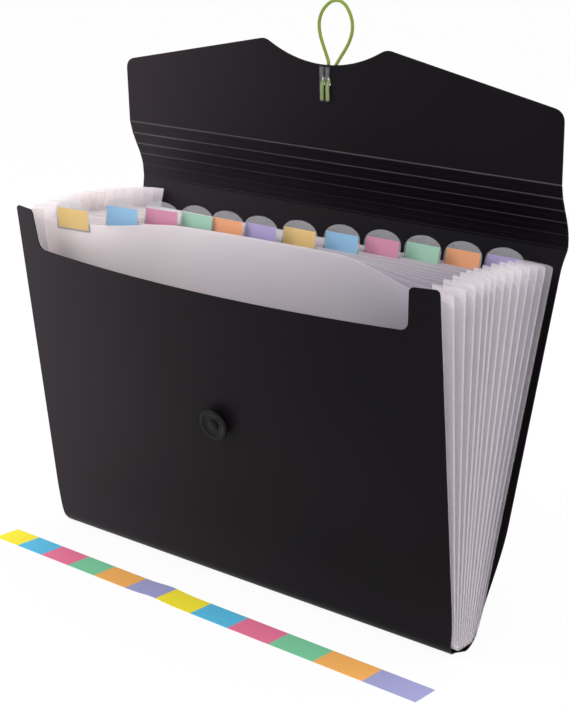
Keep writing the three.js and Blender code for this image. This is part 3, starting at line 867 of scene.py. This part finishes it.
# Gussets: on each side a pleated strip, with a ridge at each sheet's edge and folds between the sheets
pleat = {
    "edge": 165.3, "depth": 18.0, "wall": 0.3, "ridge": 0.5, "belly": 0.12, "corner": 3.2, "keep": 0.2,
    "top": 236.0, "rise": {-1: (3.5, 7.5), 1: (0.0, 4.0)}, "ridgeDrop": 5.0, "foldDrop": 4.0, "foot": 0.6,
    "columns": 22, "rows": 46, "ridgeFrom": 0.9, "cornerFrom": 0.72, "coverGap": 0.5, "weld": 1e-6,
}
pleatInputs = {
    "Geometry": ("Geometry",), "Material": ("Material",), "Int": ("Columns", "Rows"),
    "Vector": ("Fold Low", "Fold High", "Edge Low", "Edge High", "Outward", "Pocket"),
    "Float": ("Ridge", "Wall", "Corner", "Height", "Belly"),
}


def pleatTree():
    tree = bpy.data.node_groups.new("pleat_panel", "GeometryNodeTree")
    keys = {}
    for kind, names in pleatInputs.items():
        for name in names:
            socket = tree.interface.new_socket(name, in_out="INPUT", socket_type="NodeSocket" + kind)
            keys[name] = socket.identifier
    tree.interface.new_socket("Geometry", in_out="OUTPUT", socket_type="NodeSocketGeometry")
    given = addNode(tree, "NodeGroupInput").outputs

    def product(a, b):
        return maths(tree, "MULTIPLY", a, b)

    def oneMinus(value):
        return maths(tree, "SUBTRACT", 1.0, value)

    def shareFrom(start, end):
        # 0 to 1 as u goes from start to end
        past = maths(tree, "SUBTRACT", u, start)
        return maths(tree, "DIVIDE", past, end - start, clamp=True)

    def vectors(operation, *values):
        return output(tree, "ShaderNodeVectorMath", dict(enumerate(values)), operation=operation)

    def scaled(name, factor):
        return output(tree, "ShaderNodeVectorMath", {0: given[name], "Scale": factor}, operation="SCALE")

    def mixed(share, a, b):
        return addNode(tree, "ShaderNodeMix", {0: share, 4: a, 5: b}, data_type="VECTOR").outputs[1]

    size = {"Size X": 1.0, "Size Y": 1.0, "Vertices X": given["Columns"], "Vertices Y": given["Rows"]}
    grid = addNode(tree, "GeometryNodeMeshGrid", size)
    u, t = partsOf(tree, grid.outputs["UV Map"])[:2]
    # u runs from the fold to the ridge and t upwards, and the top corner at the ridge is rounded off
    corner = shareFrom(pleat["cornerFrom"], 1)
    drop = oneMinus(maths(tree, "SQRT", oneMinus(product(corner, corner))))
    drop = maths(tree, "DIVIDE", product(drop, given["Corner"]), given["Height"])
    up = product(t, oneMinus(drop))
    fold = mixed(up, given["Fold Low"], given["Fold High"])
    edge = mixed(up, given["Edge Low"], given["Edge High"])
    centre = vectors("SUBTRACT", edge, scaled("Outward", given["Ridge"]))
    shoulder = vectors("ADD", centre, scaled("Pocket", given["Ridge"]))
    across = shareFrom(0, pleat["ridgeFrom"])
    swell = product(maths(tree, "SINE", product(across, pi)), given["Belly"])
    flat = vectors("ADD", mixed(across, fold, shoulder), scaled("Pocket", swell))
    turn = product(shareFrom(pleat["ridgeFrom"], 1), pi / 2)
    inward = scaled("Pocket", product(maths(tree, "COSINE", turn), given["Ridge"]))
    outward = scaled("Outward", product(maths(tree, "SINE", turn), given["Ridge"]))
    ridge = vectors("ADD", centre, vectors("ADD", inward, outward))
    past = output(tree, "FunctionNodeCompare", {0: u, 1: pleat["ridgeFrom"]}, data_type="FLOAT",
                  operation="GREATER_THAN")
    place = output(tree, "GeometryNodeSwitch", {0: past, "False": flat, "True": ridge}, input_type="VECTOR")
    moved = output(tree, "GeometryNodeSetPosition", {"Geometry": grid.outputs["Mesh"], "Position": place})
    thick = {"Mesh": moved, "Offset Scale": given["Wall"], "Individual": False}
    raised = output(tree, "GeometryNodeExtrudeMesh", thick, mode="FACES")
    under = output(tree, "GeometryNodeFlipFaces", {"Mesh": moved})
    both = addNode(tree, "GeometryNodeJoinGeometry").inputs[0]
    tree.links.new(raised, both)
    tree.links.new(under, both)
    joined = both.node.outputs[0]
    welded = output(tree, "GeometryNodeMergeByDistance", {"Geometry": joined, "Distance": pleat["weld"]})
    smoothed = output(tree, "GeometryNodeSetShadeSmooth", {0: welded, "Shade Smooth": True})
    real = output(tree, "GeometryNodeRealizeInstances", {0: smoothed})
    painted = output(tree, "GeometryNodeSetMaterial", {"Geometry": real, "Material": given["Material"]})
    addNode(tree, "NodeGroupOutput", {0: painted})
    return tree, keys


def pleatTop(sheet, side):
    # the gussets stand higher towards the back
    first, last = pleat["rise"][side]
    return pleat["top"] + first + (last - first) * sheet / fan["last"]


def foldAt(low, share, side):
    # the fold between two neighbouring sheets, midway between them
    start = max(startOf(low), startOf(low + 1)) + pleat["foot"]
    up = start + (pleatTop(low + 0.5, side) - pleat["foldDrop"] - start) * share
    across = side * (pleat["edge"] - pleat["depth"])
    return (onSheet(low, across, up) + onSheet(low + 1, across, up)) / 2


def addPleats():
    tree, keys = pleatTree()
    half = cover["wall"] / 2
    made = []
    for side, sideName in ((1, "right"), (-1, "left")):
        for low in range(fan["last"]):
            for sheet, other, letter in ((low, low + 1, "a"), (low + 1, low, "b")):
                pocket = onSheet(sheet, 0, 0, 1 if other > sheet else -1) - onSheet(sheet, 0, 0)
                onCover = sheet in (0, fan["last"])
                seat = half + pleat["coverGap"] - pleat["ridge"] if onCover else 0.0
                top = pleatTop(sheet, side) - pleat["ridgeDrop"]
                out = side * pleat["edge"]
                lowPoint = onSheet(sheet, out, startOf(sheet) + pleat["foot"]) + pocket * seat
                highPoint = onSheet(sheet, out, top) + pocket * seat
                name = f"gusset_{sideName}_{low + 1:02d}{letter}"
                holder = linked(name, bpy.data.meshes.new(name))
                grow = holder.modifiers.new("pleat", "NODES")
                grow.node_group = tree
                values = {
                    "Fold Low": foldAt(low, 0, side) * mm, "Fold High": foldAt(low, 1, side) * mm,
                    "Edge Low": lowPoint * mm, "Edge High": highPoint * mm,
                    "Outward": (side, 0.0, 0.0), "Pocket": pocket,
                    "Ridge": pleat["ridge"] * mm, "Wall": pleat["wall"] * mm, "Corner": pleat["corner"] * mm,
                    "Height": (top - startOf(sheet)) * mm, "Belly": pleat["belly"] * mm,
                    "Columns": pleat["columns"], "Rows": pleat["rows"], "Material": pleatFilms[side],
                }
                for key, value in values.items():
                    isVector = isinstance(value, (tuple, np.ndarray))
                    grow[keys[key]] = [float(v) for v in value] if isVector else value
                made.append((holder, sheet, sideName))
    bpy.context.view_layer.update()
    graph = bpy.context.evaluated_depsgraph_get()
    meshes = [bpy.data.meshes.new_from_object(holder.evaluated_get(graph)) for holder, *_ in made]
    names = ["front_cover"] + [f"divider_{k:02d}" for k in range(1, fan["last"])] + ["back_cover"]
    for (holder, sheet, sideName), mesh in zip(made, meshes):
        holder.modifiers.clear()
        faceOutwards(mesh)
        mesh.set_sharp_from_angle(angle=radians(edgeAngles["fold"]))
        holder.data = mesh
        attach(holder, names[sheet])
        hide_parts("gusset_" + sideName)
        flatten(holder)


addPleats()
print("gussets made")

# Button, rivet and washer on the bowed cover
button = {
    "height": 120.4, "radius": 10.8, "face": 6.5, "disc": 2.4, "stem": 5.6, "dish": 1.0, "head": 3.6,
    "bore": 1.8, "washer": 6.0, "washerWall": 0.8, "gap": 0.3, "cut": 0.22, "turns": 96,
}


def buttonPlace():
    bow = float(bowAt(0, button["height"]))
    tilt = leanOf(0) + atan(cover["bowPower"] * bow / button["height"])
    centre = onSheet(0, 0, button["height"], -bow)
    out = np.array([0, -cos(tilt), -sin(tilt)])
    return centre, out


def lathe(profile, rounds):
    # turns a closed profile of (radius, height) about the button's axis
    centre, out = buttonPlace()
    side, other = np.array([1.0, 0, 0]), np.cross(out, (1.0, 0, 0))
    verts = []
    for k in range(rounds):
        angle = 2 * pi * k / rounds
        ray = cos(angle) * side + sin(angle) * other
        verts += [centre + r * ray + h * out for r, h in profile]
    ring = np.arange(len(verts)).reshape(rounds, len(profile))
    after, across = np.roll(ring, -1, axis=0), np.roll(ring, -1, axis=1)
    faces = quads(ring, after, np.roll(after, -1, axis=1), across)
    return np.array(verts), faces


def softened(profile, times=2):
    # rounds the corners of a closed profile by cutting each in two
    points = [np.array(p, float) for p in profile]
    near, far = 1 - button["cut"], button["cut"]
    for _ in range(times):
        sides = zip(points, points[1:] + points[:1])
        points = [q for a, b in sides for q in (near * a + far * b, far * a + near * b)]
    return [tuple(p) for p in points]


def addButton():
    # profiles of (radius, height), the height outwards from the middle of the cover's wall
    wall, gap, bore = cover["wall"] / 2, button["gap"], button["bore"]
    stem, radius = button["stem"], button["radius"]
    face, disc, floor = button["face"], button["face"] - button["disc"], button["face"] - button["dish"]
    knob = [
        (bore, wall + gap), (stem, wall + gap), (stem, disc - 0.3), (stem + 0.5, disc),
        (radius - 0.7, disc), (radius - 0.05, disc + 0.5), (radius, face - 1.1), (radius - 0.3, face - 0.35),
        (radius - 1.3, face), (radius - 2.5, face - 0.15), (radius - 4.0, floor + 0.1), (radius - 5.2, floor),
        (bore, floor),
    ]
    base, top = floor + gap, button["head"]
    facing, behind = -wall - gap, -wall - gap - button["washerWall"]
    tail = behind - gap
    rivet = [
        (0.01, tail - 0.8), (2.6, tail - 0.8), (3.0, tail - 0.4), (3.0, tail), (1.5, tail), (1.5, base),
        (top, base), (top - 0.1, base + 0.35), (top - 0.9, base + 0.85), (top - 2.2, base + 1.1),
        (0.01, base + 1.15),
    ]
    washer = [(bore, behind), (button["washer"], behind), (button["washer"], facing), (bore, facing)]
    for name, node, profile, material, slot in (
        ("button_knob", "button", softened(knob), mouldedBlack, "button"),
        ("button_rivet_turned", "button_rivet", rivet, mouldedBlack, "button"),
        ("button_washer_turned", "button_washer", softened(washer, 1), washerSteel, "steel"),
    ):
        piece = makePiece(name, *lathe(profile, button["turns"]), material, sharp=35)
        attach(piece, "front_cover")
        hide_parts(node)


addButton()
print("button made")

# Clear double sleeve over the ends of the elastic, whose two tubes overlap a little
sleeve = {"length": 22.0, "wall": 0.5, "gap": 0.12, "top": 54.6, "overlap": 0.02, "rounds": 28, "rows": 13}


def addSleeve():
    inner = loop["diameter"] / 2 + sleeve["gap"]
    outer = inner + sleeve["wall"]
    parts = []
    for side in (-1, 1):
        x = loop["middle"] + side * (loop["spacing"] / 2 - sleeve["overlap"])
        rows = np.linspace(0, 1, sleeve["rows"])
        angle = np.linspace(0, 2 * pi, sleeve["rounds"], endpoint=False)
        rings = []
        for radius in (inner, outer):
            for row in (rows if radius == inner else rows[::-1]):
                up = sleeve["top"] - sleeve["length"] * row
                across, through = x + radius * np.cos(angle), -loop["lift"] + radius * np.sin(angle)
                rings.append(inFrame(*flapFrame, across, up, through))
        verts = np.concatenate(rings)
        ring = np.arange(len(verts)).reshape(len(rings), -1)
        after = np.roll(ring, -1, axis=0)
        faces = quads(ring, np.roll(ring, -1, axis=1), np.roll(after, -1, axis=1), after)
        parts.append((verts, faces))
    piece = makePiece("loop_sleeve_clear", *together(parts), clearSleeve, sharp=60)
    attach(piece, "flap")
    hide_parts("loop_sleeve")


addSleeve()
print("sleeve made")

# Spare strip of labels on the floor
strip = {
    "length": 354.0, "depth": 20.5, "low": 0.02, "high": 0.3, "place": (0.5, -61.2), "turn": -1.0,
    "steps": 14, "rows": 7, "wave": 1.1, "waveAt": 0.42, "waveReach": 0.032,
    "joints": (0, 0.062, 0.129, 0.202, 0.272, 0.353, 0.430, 0.514, 0.602, 0.694, 0.791, 0.894, 1),
}


def addStrip():
    joints, steps = strip["joints"], strip["steps"]
    share = np.interp(np.arange((len(joints) - 1) * steps + 1) / steps, np.arange(len(joints)), joints)
    along = (share[:, None] - 0.5) * strip["length"]
    depth = np.linspace(-0.5, 0.5, strip["rows"])[None, :] * strip["depth"]
    along, depth = np.broadcast_arrays(along, depth)
    turn = radians(strip["turn"])
    x = strip["place"][0] + along * cos(turn) - depth * sin(turn)
    y = strip["place"][1] + along * sin(turn) + depth * cos(turn)
    fromWave = along / strip["length"] + 0.5 - strip["waveAt"]
    wave = strip["wave"] * np.exp(-((fromWave / strip["waveReach"]) ** 2))
    layers = [np.stack([x, y, z + wave], -1) for z in (strip["low"], strip["high"])]
    verts, faces = skin(*layers)
    piece = makePiece("label_strip_card", verts, faces)
    for name in paperOrder:
        piece.data.materials.append(papers[name])
    for polygon in piece.data.polygons:
        centre = polygon.center / mm
        fromX, fromY = centre.x - strip["place"][0], centre.y - strip["place"][1]
        here = fromX * cos(turn) + fromY * sin(turn)
        field = int(np.searchsorted(joints[1:-1], here / strip["length"] + 0.5))
        polygon.material_index = field % len(paperOrder)
    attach(piece, "label_strip")
    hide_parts("label_strip")


addStrip()
print("label strip made")

# Floor, backdrop light and lamps
studio = {
    "floor": 12.0, "floorHeight": -0.02, "floorShade": 0.92, "floorWhite": 0.93, "ambient": 0.85,
    "lampAim": (0, 0, 0.15),
}
lamps = {
    "key": {"place": (-1.5, -1.5, 1.6), "size": 1.4, "power": 26.0},
    "fill": {"place": (1.9, -1.1, 0.9), "size": 1.2, "power": 12.0},
    "top": {"place": (0.1, 0.2, 1.9), "size": 1.4, "power": 9.0},
}


def seenDirectly(tree):
    # 1 for rays from the camera, from gloss and through clear pieces
    path = addNode(tree, "ShaderNodeLightPath").outputs
    glossy = maths(tree, "ADD", path["Is Camera Ray"], path["Is Glossy Ray"])
    return maths(tree, "ADD", glossy, path["Is Transmission Ray"], clamp=True)


def addFloor():
    reach, height = studio["floor"] / mm, studio["floorHeight"]
    corners = [(x * reach, y * reach, height) for x, y in ((-1, -1), (1, -1), (1, 1), (-1, 1))]
    floor = makePiece("floor", corners, [[0, 1, 2, 3]])
    material = bpy.data.materials.new("pale_floor")
    material.use_nodes = True
    tree = material.node_tree
    tree.nodes.clear()
    shade = studio["floorShade"]
    matte = output(tree, "ShaderNodeBsdfDiffuse", {"Color": (shade, shade, shade, 1)})
    white = output(tree, "ShaderNodeEmission", {"Color": (1, 1, 1, 1), "Strength": 1.0})
    share = maths(tree, "MULTIPLY", seenDirectly(tree), studio["floorWhite"])
    mix = output(tree, "ShaderNodeMixShader", {0: share, 1: matte, 2: white})
    addNode(tree, "ShaderNodeOutputMaterial", {"Surface": mix})
    floor.data.materials.append(material)


def addLight():
    world = bpy.data.worlds.new("studio")
    world.use_nodes = True
    bpy.context.scene.world = world
    tree = world.node_tree
    background = tree.nodes["Background"]
    background.inputs["Color"].default_value = (1, 1, 1, 1)
    strength = mapped(tree, seenDirectly(tree), 0.0, 1.0, studio["ambient"], 1.0)
    tree.links.new(strength, background.inputs["Strength"])
    for name, lamp in lamps.items():
        data = bpy.data.lights.new(name, "AREA")
        data.size = lamp["size"]
        data.energy = lamp["power"]
        light = linked(name, data)
        light.location = lamp["place"]
        light.rotation_mode = "QUATERNION"
        ahead = Vector(studio["lampAim"]) - Vector(lamp["place"])
        light.rotation_quaternion = ahead.to_track_quat("-Z", "Y")
    bpy.context.scene.view_settings.view_transform = "Standard"


addFloor()
addLight()
print("light set")
